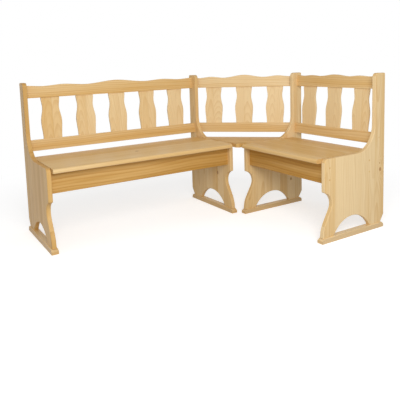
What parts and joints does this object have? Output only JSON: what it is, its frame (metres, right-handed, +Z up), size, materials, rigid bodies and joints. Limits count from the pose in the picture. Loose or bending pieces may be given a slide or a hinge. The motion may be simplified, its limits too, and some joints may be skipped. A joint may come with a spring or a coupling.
{
  "type": "corner bench",
  "caption": "Solid pine corner bench with a long and a short wing, hinged seat lids over storage boxes, a diagonal corner seat and fretted slat backs.",
  "frame": {"origin": "on the floor, under the middle of the bench's bounding box", "axes": "+X along the long wing towards the room corner, +Y towards the wall behind the long wing, +Z up"},
  "size_m": [1.707, 1.217, 0.88],
  "materials": {
    "pine": "satin clear lacquer",
    "plywood": "sanded, unlacquered",
    "steel": "bright zinc"
  },
  "bodies": {
    "frame": {"corner_dowels": "pine", "corner_lower_rail": "pine", "corner_seat": "pine", "corner_seat_cleats": "pine", "corner_seat_screws": "steel", "corner_slat_1": "pine", "corner_slat_2": "pine", "corner_slat_3": "pine", "corner_top_rail": "pine", "gable_screw_plugs": "pine", "gable_screws": "steel", "long_apron": "pine", "long_box_back": "pine", "long_box_bottom": "plywood", "long_box_bottom_cleats": "pine", "long_corner_gable": "pine", "long_corner_runner": "pine", "long_end_gable": "pine", "long_end_runner": "pine", "long_hinge_box_leaves": "steel", "long_hinge_box_screws": "steel", "long_hinge_pins": "steel", "long_lower_rail": "pine", "long_slat_1": "pine", "long_slat_2": "pine", "long_slat_3": "pine", "long_slat_4": "pine", "long_slat_5": "pine", "long_top_rail": "pine", "runner_screws": "steel", "short_apron": "pine", "short_box_back": "pine", "short_box_bottom": "plywood", "short_box_bottom_cleats": "pine", "short_corner_gable": "pine", "short_corner_runner": "pine", "short_end_gable": "pine", "short_end_runner": "pine", "short_hinge_box_leaves": "steel", "short_hinge_box_screws": "steel", "short_hinge_pins": "steel", "short_lower_rail": "pine", "short_slat_1": "pine", "short_slat_2": "pine", "short_slat_3": "pine", "short_top_rail": "pine"},
    "long_lid": {"long_lid": "pine", "long_lid_battens": "pine", "long_hinge_lid_leaves": "steel", "long_hinge_lid_screws": "steel"},
    "short_lid": {"short_lid": "pine", "short_lid_battens": "pine", "short_hinge_lid_leaves": "steel", "short_hinge_lid_screws": "steel"}
  },
  "joints": [
    {"name": "long_lid_hinge", "type": "hinge", "parent": "frame", "child": "long_lid", "pos_m": [-0.259, 0.4978, 0.4217], "axis": [-1, 0, 0], "range_deg": [0, 96]},
    {"name": "short_lid_hinge", "type": "hinge", "parent": "frame", "child": "short_lid", "pos_m": [0.7428, -0.259, 0.4217], "axis": [0, 1, 0], "range_deg": [0, 96]}
  ]
}
